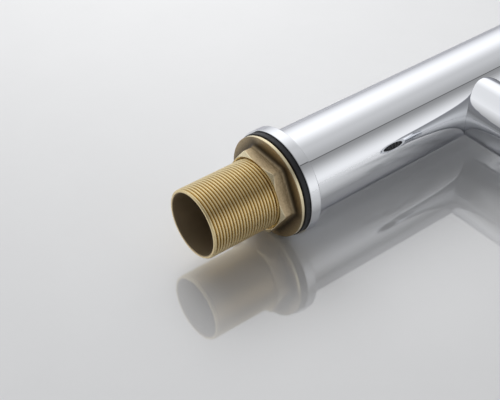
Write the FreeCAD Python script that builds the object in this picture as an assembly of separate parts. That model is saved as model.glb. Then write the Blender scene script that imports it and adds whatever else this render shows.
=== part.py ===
# Basin mixer tap: a straight round body on a threaded mounting shank, with a flanged lock nut,
# a level spout and a ceramic disc cartridge under a tilting and turning cap handle.
# Millimetres, +Z up. The origin is on the tap's axis where the base ring meets the deck.
# The spout and the lever point to -Y. The tap is modelled closed, with the nut done up.
import FreeCAD, Part
import math
import os

V = FreeCAD.Vector

# Clearances
face_gap = 0.05
slip = 0.05
run = 0.06
turn_gap = 0.1
part_gap = 0.3
reach = 1.0

# Mounting shank and its thread
thread_d = 32.0
thread_pitch = 1.5
thread_depth = 0.92
crest_flat = 0.22
shank_bore_d = 28.86
shank_below = 44.7
shank_above = 16.6
shank_tip_d = 31.0
shank_tip_band = 0.9
thread_end_below = 1.2

# Base ring
ring_d = 49.8
ring_h = 5.4
ring_edge = 0.5
lip_w = 0.4
lip_chamfer = 0.2
recess_depth = 0.45

# Washer and lock nut
washer_d = 48.2
washer_t = 2.87
flange_inset = 0.4
nut_flange_t = 2.23
nut_h = 8.8
hex_flats = 34.4
hex_turn = 34.0
hex_corner_round = 1.0
hex_foot_round = 1.6
hex_bevel_r = 17.5
countersink_d = 34.2
thread_play = 0.15
flange_edge = 0.3

# Body
body_d = 41.0
body_wall = 3.0
body_edge = 0.3
body_seat_step = 0.8

# Spout
spout_z = 114.0
spout_d = 30.0
spout_wall = 1.5
spout_reach = 75.0
spout_past_outlet = 14.5
spout_end_round = 2.5
spout_root = 14.0
outlet_collar_d = 24.0
outlet_collar_drop = 6.0
outlet_boss_h = 8.0

# Nipple that carries the spout on the valve block
nipple_thread_d = 14.0
nipple_thread_len = 6.0
nipple_d = 20.0
nipple_bore_d = 9.0
nipple_len = 12.5
gasket_t = 0.6
gasket_d = 19.0
oring_w = 2.0

# Aerator
aerator_wall = 1.3
aerator_h = 6.6
aerator_lip = 0.7
aerator_set_back = 0.4
insert_h = 5.0
insert_hole_d = 2.2
insert_hole_counts = (1, 6, 12)
insert_ring_radii = (0.0, 3.4, 6.8)
aerator_seal_t = 1.2
aerator_seal_w = 2.3

# Valve block
block_play = 0.2
block_below_spout = 24.0
block_flange_t = 3.0
inlet_spacing = 16.0
inlet_y = -1.0
inlet_thread_d = 8.92
inlet_depth = 12.0
channel_d = 5.2
outlet_channel_d = 6.4

# Cartridge, counted upwards from its seat
seat_above_spout = 11.0
cartridge_d = 24.8
chamber_play = 0.2
base_standoff = 0.4
base_t = 4.15
peg_d = 3.0
peg_h = 1.6
peg_angles = (70.0, 110.0)
peg_r = 10.4
port_d = 5.2
inlet_port_x = 6.6
inlet_port_y = -3.0
outlet_port_y = 6.2
seal_w = 1.4
disc_port_d = 4.0
disc_inlet_x = 5.0
disc_inlet_y = -2.0
disc_outlet_y = 4.6
fixed_disc_t = 3.0
moving_disc_d = 16.8
moving_disc_t = 2.75
disc_gap = 0.03
rotor_play = 0.15
socket_play = 0.15
block_above_neck = 2.0
pocket_w = 11.6
pocket_low = -0.7
pocket_high = 5.2
pocket_depth = 1.4
driver_t = 4.0
housing_wall = 1.75
housing_roof_t = 2.3
housing_neck_wall = 1.5
housing_neck_h = 4.5
rotor_flange_t = 2.2
rotor_neck_d = 17.7

# Spindle, which rocks on a pin in the rotor
pivot_above_rotor = 3.77
lift_angle = 25.0
spindle_arm = 5.2
ball_d = 3.8
ball_neck_d = 2.8
spindle_side = 7.0
pivot_boss_d = 7.4
pin_d = 3.0
spindle_in_cap = 9.4

# Ring nut that holds the cartridge down
ring_nut_thread_d = 27.8
ring_nut_flats = 25.0
ring_nut_head_h = 4.8
ring_nut_wall_gap = 0.3

# Dome and cap handle, both struck from the spindle's pivot
dome_r = 26.0
dome_wall = 1.8
dome_hole_angle = 24.5
dome_skirt_wall = 1.7
dome_foot_inset = 0.3
dome_gap = 0.6
cap_h = 14.0
cap_edge = 0.8
cap_low_edge = 0.25

# Lever rod, screwed into the cap
rod_d = 8.0
rod_len = 60.0
rod_slope = 8.0
rod_above_hollow = 6.9
rod_seat_depth = 1.2
rod_tenon_d = 6.0
rod_tenon_len = 6.0
rod_tip_round = 1.2

# Grub screw and the plug that hides it
grub_above_hollow = 2.6
grub_d = 4.0
grub_len = 6.0
grub_socket_d = 2.2
grub_socket_depth = 2.0
plug_d = 5.0
plug_t = 1.8
plug_crown = 0.25

# Radii and levels worked out from the sizes above
thread_r = thread_d / 2.0
root_r = thread_r - thread_depth
flank = math.tan(math.radians(30.0))
shank_r = thread_r + slip
shank_hole_r = shank_r + turn_gap
ring_r = ring_d / 2.0
body_r = body_d / 2.0
body_bore_r = body_r - body_wall
body_low_z = ring_h + face_gap
shank_top_z = body_low_z + shank_above
washer_top_z = recess_depth - face_gap
washer_low_z = washer_top_z - washer_t
nut_top_z = washer_low_z - face_gap
nut_low_z = nut_top_z - nut_h
flange_low_z = nut_top_z - nut_flange_t
spout_r = spout_d / 2.0
spout_bore_r = spout_r - spout_wall
block_r = body_bore_r - block_play
block_low_z = spout_z - block_below_spout
seat_z = spout_z + seat_above_spout
cartridge_r = cartridge_d / 2.0
chamber_r = cartridge_r + chamber_play
base_low_z = seat_z + base_standoff
base_top_z = base_low_z + base_t
fixed_disc_low_z = base_top_z + face_gap
fixed_disc_top_z = fixed_disc_low_z + fixed_disc_t
moving_disc_low_z = fixed_disc_top_z + disc_gap
driver_low_z = moving_disc_low_z + moving_disc_t + face_gap
driver_top_z = driver_low_z + driver_t
rotor_low_z = driver_top_z + part_gap
rotor_flange_top_z = rotor_low_z + rotor_flange_t
pivot_z = rotor_low_z + pivot_above_rotor
roof_low_z = rotor_flange_top_z + turn_gap
shoulder_z = roof_low_z + housing_roof_t
neck_top_z = shoulder_z + housing_neck_h
housing_bore_r = cartridge_r - housing_wall
rotor_neck_r = rotor_neck_d / 2.0
neck_hole_r = rotor_neck_r + turn_gap
neck_r = neck_hole_r + housing_neck_wall
body_top_z = pivot_z + math.sqrt(dome_r ** 2 - body_r ** 2)
ring_nut_thread_r = ring_nut_thread_d / 2.0
block_top_z = shoulder_z + housing_neck_h + block_above_neck
seat_step_z = block_top_z - block_flange_t
counterbore_r = body_bore_r + body_seat_step
half_lift = math.radians(lift_angle / 2.0)
disc_rest_y = spindle_arm * math.sin(half_lift)
up = V(0.0, -math.sin(half_lift), math.cos(half_lift))
front = V(0.0, -math.cos(half_lift), -math.sin(half_lift))
pivot = V(0.0, 0.0, pivot_z)
cap_r = dome_r + dome_gap
spindle_len = cap_r + spindle_in_cap
grub_at = cap_r + grub_above_hollow
cap_top_z = pivot_z + cap_r + cap_h


def cylinder(r, z0, z1, x=0.0, y=0.0):
    """An upright round bar between two levels."""
    return Part.makeCylinder(r, z1 - z0, V(x, y, z0))


def ring(r_out, r_in, z0, z1, x=0.0, y=0.0):
    """An upright round sleeve between two levels."""
    return cylinder(r_out, z0, z1, x, y).cut(cylinder(r_in, z0 - reach, z1 + reach, x, y))


def level_bar(r, y0, y1, z):
    """A round bar that lies along Y on the tap's middle plane."""
    return Part.makeCylinder(r, y1 - y0, V(0.0, y0, z), V(0.0, 1.0, 0.0))


def aimed_bar(r, start, way, length):
    """A round bar from a point along a direction."""
    return Part.makeCylinder(r, length, start, way)


def turned(points):
    """A solid turned about the tap's axis from a closed outline of radius and height pairs."""
    corners = [V(r, 0.0, z) for r, z in points]
    outline = Part.makePolygon(corners + corners[:1])
    return Part.Face(outline).revolve(V(0, 0, 0), V(0, 0, 1), 360.0)


def circle_edges(shape, r, z):
    """The round level edges of one radius at one height."""
    found = []
    for edge in shape.Edges:
        if edge.Degenerated or not isinstance(edge.Curve, Part.Circle):
            continue
        box = edge.BoundBox
        level = abs(box.ZMin - z) < slip and abs(box.ZMax - z) < slip
        if level and abs(edge.Curve.Radius - r) < slip:
            found.append(edge)
    return found


def hex_bar(flats, z0, z1, turn=0.0):
    """A six-sided bar, with one corner at the given angle."""
    corner = flats / math.sqrt(3.0)
    angles = [math.radians(turn + 60.0 * k) for k in range(6)]
    corners = [V(corner * math.cos(a), corner * math.sin(a), z0) for a in angles]
    return Part.Face(Part.makePolygon(corners + corners[:1])).extrude(V(0, 0, z1 - z0))


def one_solid(shape):
    """The only solid of a cut or joined shape, with its split faces merged."""
    solids = shape.removeSplitter().Solids
    if len(solids) != 1:
        raise ValueError("expected one solid, found %d" % len(solids))
    return solids[0]


def thread_ridge(r_low, r_high, w_low, w_high, z0, z1):
    """A right-hand helical ridge. Its turns line up for any start level that is whole pitches away."""
    helix = Part.makeLongHelix(thread_pitch, z1 - z0, r_low, 0, False)
    corners = [
        V(r_low, 0, -w_low / 2.0),
        V(r_high, 0, -w_high / 2.0),
        V(r_high, 0, w_high / 2.0),
        V(r_low, 0, w_low / 2.0),
    ]
    sweep = Part.BRepOffsetAPI.MakePipeShell(Part.Wire(helix.Edges))
    sweep.setFrenetMode(True)
    sweep.add(Part.makePolygon(corners + corners[:1]), False, False)
    sweep.build()
    sweep.makeSolid()
    ridge = sweep.shape()
    ridge.translate(V(0, 0, z0))
    return ridge


def ridge_width(r, play=0.0):
    """The thread ridge's width along the axis at a radius, with play added square to its flanks."""
    return crest_flat + 2.0 * flank * (thread_r - r) + 2.0 * play / math.cos(math.radians(30.0))


def threaded_shank():
    low_z = -shank_below
    sink = slip
    turns = math.floor((shank_below - thread_end_below) / thread_pitch) + 1
    start_z = low_z - thread_pitch / 5.0
    tip_r = shank_tip_d / 2.0
    tip_band = cylinder(tip_r, low_z, low_z + shank_tip_band)
    core = cylinder(root_r, low_z, -thread_end_below).fuse(tip_band)
    ridge = thread_ridge(
        root_r - sink,
        thread_r,
        ridge_width(root_r - sink),
        crest_flat,
        start_z,
        start_z + turns * thread_pitch,
    )
    threaded = core.fuse(ridge)
    tip_bevel = thread_r - tip_r
    envelope = turned([
        (0.0, low_z),
        (tip_r, low_z),
        (thread_r, low_z + tip_bevel),
        (thread_r + reach, low_z + tip_bevel + reach),
        (thread_r + reach, -thread_end_below),
        (0.0, -thread_end_below),
    ])
    threaded = threaded.common(envelope)
    plain = cylinder(shank_r, -thread_end_below, shank_top_z)
    bore = cylinder(shank_bore_d / 2.0, low_z - reach, shank_top_z + reach)
    return one_solid(threaded.fuse(plain).cut(bore))


def base_ring():
    lip_r = ring_r - lip_chamfer
    blank = turned([
        (shank_hole_r, recess_depth),
        (lip_r - lip_w, recess_depth),
        (lip_r - lip_w, 0.0),
        (lip_r, 0.0),
        (ring_r, lip_chamfer),
        (ring_r, ring_h),
        (shank_hole_r, ring_h),
    ])
    return one_solid(blank.makeFillet(ring_edge, circle_edges(blank, ring_r, ring_h)))


def rubber_washer():
    return ring(washer_d / 2.0, shank_hole_r + part_gap, washer_low_z, washer_top_z)


def lock_nut():
    flange_r = washer_d / 2.0 - flange_inset
    hexagon = hex_bar(hex_flats, nut_low_z, flange_low_z, hex_turn)
    uprights = [e for e in hexagon.Edges if e.BoundBox.ZLength > nut_h / 2.0]
    hexagon = hexagon.makeFillet(hex_corner_round, uprights)
    bevel = Part.makeCone(
        hex_bevel_r,
        hex_bevel_r + nut_h / flank,
        nut_h,
        V(0, 0, nut_low_z),
    )
    flange = cylinder(flange_r, flange_low_z, nut_top_z)
    rims = circle_edges(flange, flange_r, flange_low_z) + circle_edges(flange, flange_r, nut_top_z)
    flange = flange.makeChamfer(flange_edge, rims)
    blank = hexagon.common(bevel).fuse(flange).removeSplitter()
    foot = []
    for edge in blank.Edges:
        box = edge.BoundBox
        on_flange = abs(box.ZMin - flange_low_z) < slip and abs(box.ZMax - flange_low_z) < slip
        away = edge.Vertexes[0].Point.sub(V(0, 0, flange_low_z)).Length
        if on_flange and away < hex_flats / math.sqrt(3.0) + slip:
            foot.append(edge)
    blank = blank.makeFillet(hex_foot_round, foot)
    bore_r = root_r + thread_play + slip
    countersink_r = countersink_d / 2.0
    bore = cylinder(bore_r, nut_low_z - reach, nut_top_z + reach)
    mouth = Part.makeCone(
        countersink_r,
        bore_r,
        countersink_r - bore_r,
        V(0, 0, nut_low_z),
    )
    exit_r = thread_r + part_gap
    back = Part.makeCone(bore_r, exit_r, exit_r - bore_r, V(0, 0, nut_top_z - (exit_r - bore_r)))
    shank_start_z = -shank_below - thread_pitch / 5.0
    whole_pitches = math.floor((nut_low_z - shank_start_z) / thread_pitch) - 1
    start_z = shank_start_z + whole_pitches * thread_pitch
    turns = math.ceil(nut_h / thread_pitch) + 3
    groove = thread_ridge(
        bore_r - turn_gap,
        thread_r + thread_play,
        ridge_width(bore_r - turn_gap, thread_play),
        ridge_width(thread_r + thread_play, thread_play),
        start_z,
        start_z + turns * thread_pitch,
    )
    blank = blank.cut(bore).cut(mouth).cut(back)
    return one_solid(blank.cut(groove))


def body_shell():
    blank = turned([
        (shank_r + slip, body_low_z),
        (body_r - body_edge, body_low_z),
        (body_r, body_low_z + body_edge),
        (body_r, body_top_z - body_edge),
        (body_r - body_edge, body_top_z),
        (counterbore_r, body_top_z),
        (counterbore_r, seat_step_z),
        (body_bore_r, seat_step_z),
        (body_bore_r, shank_top_z + face_gap),
        (shank_r + slip, shank_top_z + face_gap),
    ])
    spout_hole = level_bar(spout_r + slip, -body_d, 0.0, spout_z)
    return one_solid(blank.cut(spout_hole))


def inlet_sides():
    """Left and right, as factors of X."""
    return (-1.0, 1.0)


def valve_block():
    blank = turned([
        (0.0, block_low_z),
        (block_r, block_low_z),
        (block_r, seat_step_z + face_gap),
        (counterbore_r - turn_gap, seat_step_z + face_gap),
        (counterbore_r - turn_gap, block_top_z),
        (0.0, block_top_z),
    ])
    blank = blank.cut(cylinder(chamber_r, seat_z, block_top_z + reach))
    blank = blank.cut(cylinder(ring_nut_thread_r + slip, shoulder_z, block_top_z + reach))
    channel_r = channel_d / 2.0
    for side in inlet_sides():
        inlet_x = side * inlet_spacing / 2.0
        thread = cylinder(
            inlet_thread_d / 2.0, block_low_z - reach, block_low_z + inlet_depth, inlet_x, inlet_y
        )
        riser = cylinder(
            channel_r, block_low_z + inlet_depth, seat_z + reach, side * inlet_port_x, inlet_port_y
        )
        blank = blank.cut(thread).cut(riser)
    outlet_r = outlet_channel_d / 2.0
    drop = cylinder(channel_r, spout_z, seat_z + reach, 0.0, outlet_port_y)
    cross = level_bar(outlet_r, -block_r - reach, outlet_port_y + channel_r, spout_z)
    spot_y = -block_r + gasket_t
    socket_y = spot_y + nipple_thread_len + turn_gap
    socket = level_bar(nipple_thread_d / 2.0 + slip, -block_r - reach, socket_y, spout_z)
    spot = level_bar(nipple_d / 2.0 + turn_gap, -block_r - reach, spot_y, spout_z)
    blank = blank.cut(drop).cut(cross).cut(socket).cut(spot)
    for place in peg_places():
        blank = blank.cut(cylinder(peg_d / 2.0 + turn_gap, seat_z - peg_h, seat_z + reach, *place))
    return one_solid(blank)


def peg_places():
    """Where the cartridge's two locating pegs stand."""
    angles = [math.radians(a) for a in (peg_angles[0] + 180.0, peg_angles[1] + 180.0)]
    return [(peg_r * math.cos(a), peg_r * math.sin(a)) for a in angles]


def nipple_gasket():
    spot_y = -block_r + gasket_t
    outer = level_bar(gasket_d / 2.0, spot_y - gasket_t, spot_y - face_gap, spout_z)
    return outer.cut(level_bar(nipple_thread_d / 2.0 + turn_gap, -body_d, 0.0, spout_z))


def spout_nipple():
    spot_y = -block_r + gasket_t
    inner_y = spot_y + nipple_thread_len
    shoulder_y = -block_r - face_gap
    end_y = shoulder_y - nipple_len
    thread = level_bar(nipple_thread_d / 2.0, shoulder_y, inner_y, spout_z)
    head = level_bar(nipple_d / 2.0, end_y, shoulder_y, spout_z)
    groove_w = oring_w + 2.0 * turn_gap
    groove_y = oring_middle_y() - groove_w / 2.0
    groove = level_bar(nipple_d / 2.0 + reach, groove_y, groove_y + groove_w, spout_z)
    groove = groove.cut(level_bar(nipple_d / 2.0 - oring_w, -body_d, 0.0, spout_z))
    bore = level_bar(nipple_bore_d / 2.0, end_y - reach, inner_y + reach, spout_z)
    return one_solid(thread.fuse(head).cut(groove).cut(bore))


def oring_middle_y():
    """Where along Y the spout's sealing ring sits on its nipple."""
    return -block_r - face_gap - nipple_len / 2.0 - oring_w


def spout_seal():
    wire_r = oring_w / 2.0 - turn_gap / 2.0
    middle_r = nipple_d / 2.0 - oring_w + wire_r + turn_gap / 2.0
    return Part.makeTorus(middle_r, wire_r, V(0, oring_middle_y(), spout_z), V(0, 1, 0))


def spout_tube():
    end_y = -spout_reach - spout_past_outlet
    root_y = -block_r - spout_root
    collar_r = outlet_collar_d / 2.0
    bottom_z = spout_z - spout_r - outlet_collar_drop
    bore_r = collar_r - reach
    bar = level_bar(spout_r, end_y, 0.0, spout_z)
    end_edges = [e for e in bar.Edges if e.BoundBox.YMax < end_y + slip]
    bar = bar.makeFillet(spout_end_round, end_edges)
    boss = cylinder(collar_r, bottom_z, bottom_z + outlet_collar_drop + spout_wall + outlet_boss_h,
                    0.0, -spout_reach)
    collar = cylinder(collar_r, bottom_z, spout_z, 0.0, -spout_reach)
    hollow = level_bar(spout_bore_r, end_y + spout_wall, root_y, spout_z)
    tube = bar.fuse(collar).cut(hollow).fuse(boss)
    socket = level_bar(nipple_d / 2.0 + slip, root_y - reach, reach, spout_z)
    saddle = cylinder(block_r + turn_gap, spout_z - spout_d, spout_z + spout_d)
    seal_top_z = aerator_top_z() + face_gap + aerator_seal_t + face_gap
    mouth = cylinder(bore_r, bottom_z - reach, seal_top_z, 0.0, -spout_reach)
    throat_r = bore_r - aerator_seal_w
    throat = cylinder(throat_r, bottom_z, spout_z, 0.0, -spout_reach)
    return one_solid(tube.cut(socket).cut(saddle).cut(mouth).cut(throat))


def aerator_low_z():
    """The level of the aerator's lower face, a little inside the spout's collar."""
    return spout_z - spout_r - outlet_collar_drop + aerator_set_back


def aerator_top_z():
    """The level of the aerator's upper face."""
    return aerator_low_z() + aerator_h


def aerator_r():
    """The outer radius of the aerator's housing, which screws into the collar."""
    return outlet_collar_d / 2.0 - reach - slip


def aerator_housing():
    low_z = aerator_low_z()
    sleeve = ring(aerator_r(), aerator_r() - aerator_wall, low_z, aerator_top_z(), 0.0, -spout_reach)
    lip = ring(
        aerator_r(), aerator_r() - aerator_wall - aerator_lip, low_z, low_z + aerator_lip,
        0.0, -spout_reach,
    )
    return one_solid(sleeve.fuse(lip))


def aerator_insert():
    low_z = aerator_low_z() + aerator_lip + face_gap
    insert_r = aerator_r() - aerator_wall - slip
    insert = cylinder(insert_r, low_z, low_z + insert_h, 0.0, -spout_reach)
    for count, away in zip(insert_hole_counts, insert_ring_radii):
        for k in range(count):
            angle = 2.0 * math.pi * k / count
            x = away * math.cos(angle)
            y = away * math.sin(angle) - spout_reach
            hole = cylinder(insert_hole_d / 2.0, low_z - reach, low_z + insert_h + reach, x, y)
            insert = insert.cut(hole)
    return one_solid(insert)


def aerator_seal():
    low_z = aerator_top_z() + face_gap
    seal_r = aerator_r()
    return ring(seal_r, seal_r - aerator_seal_w, low_z, low_z + aerator_seal_t, 0.0, -spout_reach)


def port_places():
    """The cartridge's three ports under its base, and where they come out at the discs."""
    return [
        ((-inlet_port_x, inlet_port_y), (-disc_inlet_x, disc_inlet_y)),
        ((inlet_port_x, inlet_port_y), (disc_inlet_x, disc_inlet_y)),
        ((0.0, outlet_port_y), (0.0, disc_outlet_y)),
    ]


def cartridge_base():
    base = cylinder(cartridge_r, base_low_z, base_top_z)
    for x, y in peg_places():
        base = base.fuse(cylinder(peg_d / 2.0, seat_z - peg_h + part_gap, base_low_z + reach, x, y))
    middle_z = (base_low_z + base_top_z) / 2.0
    for (x, y), (disc_x, disc_y) in port_places():
        seal_r = port_d / 2.0 + seal_w + turn_gap
        base = base.cut(cylinder(seal_r, base_low_z - reach, base_low_z + seal_w / 2.0, x, y))
        base = base.cut(cylinder(port_d / 2.0, base_low_z, middle_z + reach / 2.0, x, y))
        base = base.cut(cylinder(disc_port_d / 2.0, middle_z - reach / 2.0, base_top_z + reach,
                                 disc_x, disc_y))
    return one_solid(base)


def port_seals():
    top_z = base_low_z + seal_w / 2.0 - face_gap
    seal_r = port_d / 2.0 + seal_w
    return [ring(seal_r, port_d / 2.0, seat_z + face_gap, top_z, x, y) for (x, y), _ in port_places()]


def fixed_disc():
    disc = cylinder(housing_bore_r - turn_gap, fixed_disc_low_z, fixed_disc_top_z)
    for _, (x, y) in port_places():
        disc = disc.cut(cylinder(disc_port_d / 2.0, fixed_disc_low_z - reach, fixed_disc_top_z + reach,
                                 x, y))
    return one_solid(disc)


def moving_disc():
    top_z = moving_disc_low_z + moving_disc_t
    disc = cylinder(moving_disc_d / 2.0, moving_disc_low_z, top_z, 0.0, disc_rest_y)
    pocket = Part.makeBox(
        pocket_w,
        pocket_high - pocket_low,
        pocket_depth + reach,
        V(-pocket_w / 2.0, disc_rest_y + pocket_low, moving_disc_low_z - reach),
    )
    return one_solid(disc.cut(pocket))


def disc_driver():
    driver = cylinder(moving_disc_d / 2.0, driver_low_z, driver_top_z, 0.0, disc_rest_y)
    floor_z = pivot_z - spindle_arm - ball_d / 2.0 - part_gap
    socket_r = ball_d / 2.0 + socket_play
    return one_solid(driver.cut(cylinder(socket_r, floor_z, driver_top_z + reach, 0.0, disc_rest_y)))


def cartridge_housing():
    blank = turned([
        (housing_bore_r, base_top_z + face_gap),
        (cartridge_r, base_top_z + face_gap),
        (cartridge_r, shoulder_z),
        (neck_r, shoulder_z),
        (neck_r, neck_top_z),
        (neck_hole_r, neck_top_z),
        (neck_hole_r, roof_low_z),
        (housing_bore_r, roof_low_z),
    ])
    return one_solid(blank)


def rotor():
    blank = turned([
        (0.0, rotor_low_z),
        (housing_bore_r - rotor_play, rotor_low_z),
        (housing_bore_r - rotor_play, rotor_flange_top_z),
        (rotor_neck_r, rotor_flange_top_z),
        (rotor_neck_r, neck_top_z),
        (0.0, neck_top_z),
    ])
    highest = max(neck_top_z - pivot_z, pivot_z - rotor_low_z)
    lean = highest * math.tan(half_lift) + spindle_side / 2.0 / math.cos(half_lift)
    slot_w = spindle_side + 2.0 * turn_gap
    slot_len = 2.0 * (lean + part_gap)
    slot = Part.makeBox(
        slot_w,
        slot_len,
        neck_top_z - rotor_low_z + 2.0 * reach,
        V(-slot_w / 2.0, -slot_len / 2.0, rotor_low_z - reach),
    )
    pin_hole = aimed_bar(pin_d / 2.0 + slip, V(-cartridge_r, 0, pivot_z), V(1, 0, 0), cartridge_d)
    return one_solid(blank.cut(slot).cut(pin_hole))


def spindle_pin():
    half = rotor_neck_r - part_gap
    return aimed_bar(pin_d / 2.0, V(-half, 0, pivot_z), V(1, 0, 0), 2.0 * half)


def square_bar(side, start, length):
    """A square bar along the leaning spindle, from a distance above the pivot."""
    bar = Part.makeBox(side, side, length, V(-side / 2.0, -side / 2.0, start))
    bar.rotate(V(0, 0, 0), V(1, 0, 0), math.degrees(half_lift))
    bar.translate(pivot)
    return bar


def spindle():
    boss_w = spindle_side
    boss = aimed_bar(pivot_boss_d / 2.0, V(-boss_w / 2.0, 0, pivot_z), V(1, 0, 0), boss_w)
    shaft = square_bar(spindle_side, 0.0, spindle_len)
    ball_middle = pivot.sub(up * spindle_arm)
    neck = aimed_bar(ball_neck_d / 2.0, ball_middle, up, spindle_arm)
    ball = Part.makeSphere(ball_d / 2.0, ball_middle)
    pin_hole = aimed_bar(pin_d / 2.0 + run, V(-spindle_side, 0, pivot_z), V(1, 0, 0), 2.0 * spindle_side)
    return one_solid(shaft.fuse(boss).fuse(neck).fuse(ball).cut(pin_hole))


def cartridge_nut():
    low_z = shoulder_z + face_gap
    head_low_z = block_top_z + part_gap
    top_z = head_low_z + ring_nut_head_h
    thread = cylinder(ring_nut_thread_r, low_z, head_low_z)
    head = hex_bar(ring_nut_flats, head_low_z, top_z)
    bore = cylinder(neck_r + ring_nut_wall_gap, low_z - reach, top_z + reach)
    return one_solid(thread.fuse(head).cut(bore))


def dome_cap():
    skirt_r = counterbore_r - turn_gap
    skirt_in_r = skirt_r - dome_skirt_wall
    inner_r = dome_r - dome_wall
    foot_r = body_r - dome_foot_inset
    foot_z = body_top_z + face_gap
    low_z = block_top_z + face_gap
    hole = math.radians(dome_hole_angle)
    blank = turned([
        (skirt_in_r, low_z),
        (skirt_r, low_z),
        (skirt_r, foot_z),
        (foot_r, foot_z),
        (foot_r, pivot_z + dome_r),
        (skirt_in_r, pivot_z + dome_r),
    ])
    middle = turned([
        (0.0, foot_z),
        (skirt_in_r + slip, foot_z),
        (skirt_in_r + slip, pivot_z + dome_r),
        (0.0, pivot_z + dome_r),
    ])
    hole_cone = Part.makeCone(0.0, 2.0 * dome_r * math.tan(hole), 2.0 * dome_r, pivot)
    outer = Part.makeSphere(dome_r, pivot)
    inner = Part.makeSphere(inner_r, pivot).common(cylinder(skirt_in_r, pivot_z, pivot_z + dome_r))
    head = blank.fuse(middle).common(outer.fuse(cylinder(foot_r, low_z - reach, foot_z + slip)))
    return one_solid(head.cut(inner).cut(hole_cone))


def rod_start():
    """The foot of the lever rod on the cap's front, and the way that the rod points."""
    slope = math.radians(rod_slope)
    way = V(0.0, -math.cos(slope), math.sin(slope))
    foot = V(0.0, -body_r + rod_seat_depth, pivot_z + cap_r + rod_above_hollow)
    return foot, way


def handle_cap():
    blank = cylinder(body_r, pivot_z, cap_top_z)
    blank = blank.makeFillet(cap_edge, circle_edges(blank, body_r, cap_top_z))
    hollow = Part.makeSphere(cap_r, pivot)
    blank = one_solid(blank.cut(hollow))
    low_z = pivot_z + math.sqrt(cap_r ** 2 - body_r ** 2)
    blank = blank.makeChamfer(cap_low_edge, circle_edges(blank, body_r, low_z))
    socket = square_bar(spindle_side + 2.0 * slip, 0.0, spindle_len + part_gap)
    foot, way = rod_start()
    seat = aimed_bar(rod_d / 2.0 + slip, foot, way, rod_d)
    tenon_hole = aimed_bar(
        rod_tenon_d / 2.0 + slip, foot.sub(way * (rod_tenon_len + part_gap)), way, rod_tenon_len + reach
    )
    grub_foot = pivot.add(up * grub_at)
    grub_hole = aimed_bar(grub_d / 2.0 + slip, grub_foot, front, body_d)
    plug_hole = aimed_bar(plug_d / 2.0 + slip, plug_foot(), front, body_d)
    return one_solid(blank.cut(socket).cut(seat).cut(tenon_hole).cut(grub_hole).cut(plug_hole))


def lever_rod():
    foot, way = rod_start()
    bar = aimed_bar(rod_d / 2.0, foot, way, rod_len)
    tip = foot.add(way * rod_len)
    tip_edges = [e for e in bar.Edges if e.BoundBox.Center.sub(tip).Length < slip]
    bar = bar.makeFillet(rod_tip_round, tip_edges)
    tenon = aimed_bar(rod_tenon_d / 2.0, foot.sub(way * rod_tenon_len), way, rod_tenon_len + reach)
    return one_solid(bar.fuse(tenon))


def grub_screw():
    start = pivot.add(up * grub_at).add(front * (spindle_side / 2.0 + face_gap))
    screw = aimed_bar(grub_d / 2.0, start, front, grub_len)
    end = start.add(front * grub_len)
    socket = aimed_bar(grub_socket_d / 2.0, end, front * -1.0, grub_socket_depth)
    return one_solid(screw.cut(socket))


def plug_foot():
    """The bottom of the index plug's hole in the cap's front."""
    on_axis = pivot.add(up * grub_at)
    to_face = (body_r + on_axis.y) / math.cos(half_lift)
    return on_axis.add(front * (to_face - plug_t))


def index_plug():
    start = plug_foot().add(front * face_gap)
    plug = aimed_bar(plug_d / 2.0, start, front, plug_t + body_r)
    skin = cylinder(body_r + plug_crown, pivot_z, cap_top_z)
    return one_solid(plug.common(skin))


makers = {
    "threaded_shank": threaded_shank,
    "base_ring": base_ring,
    "rubber_washer": rubber_washer,
    "lock_nut": lock_nut,
    "body_shell": body_shell,
    "valve_block": valve_block,
    "nipple_gasket": nipple_gasket,
    "spout_nipple": spout_nipple,
    "spout_seal": spout_seal,
    "spout_tube": spout_tube,
    "aerator_housing": aerator_housing,
    "aerator_insert": aerator_insert,
    "aerator_seal": aerator_seal,
    "cartridge_base": cartridge_base,
    "port_seals": port_seals,
    "fixed_disc": fixed_disc,
    "moving_disc": moving_disc,
    "disc_driver": disc_driver,
    "cartridge_housing": cartridge_housing,
    "rotor": rotor,
    "spindle_pin": spindle_pin,
    "spindle": spindle,
    "cartridge_nut": cartridge_nut,
    "dome_cap": dome_cap,
    "handle_cap": handle_cap,
    "lever_rod": lever_rod,
    "grub_screw": grub_screw,
    "index_plug": index_plug,
}

os.makedirs("parts", exist_ok=True)
for node, make in makers.items():
    made = make()
    shape = Part.makeCompound(made) if isinstance(made, list) else made
    shape.exportStep("parts/%s.step" % node)
    print("%-18s %d solid, %9.1f mm3, valid %s" % (node, len(shape.Solids), shape.Volume, shape.isValid()))
print("pivot height %.2f, body top %.2f, total height %.2f" % (pivot_z, body_top_z, cap_top_z))
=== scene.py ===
# Basin mixer tap, lying on a pale glossy table: a chrome body and base ring, a threaded brass shank
# with its flanged lock nut, a level spout, and a cap handle with its lever.
# Outlines are written in millimetres, and each finished mesh is scaled to metres.
import bpy
import bmesh
import math
from mathutils import Matrix, Vector


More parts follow.
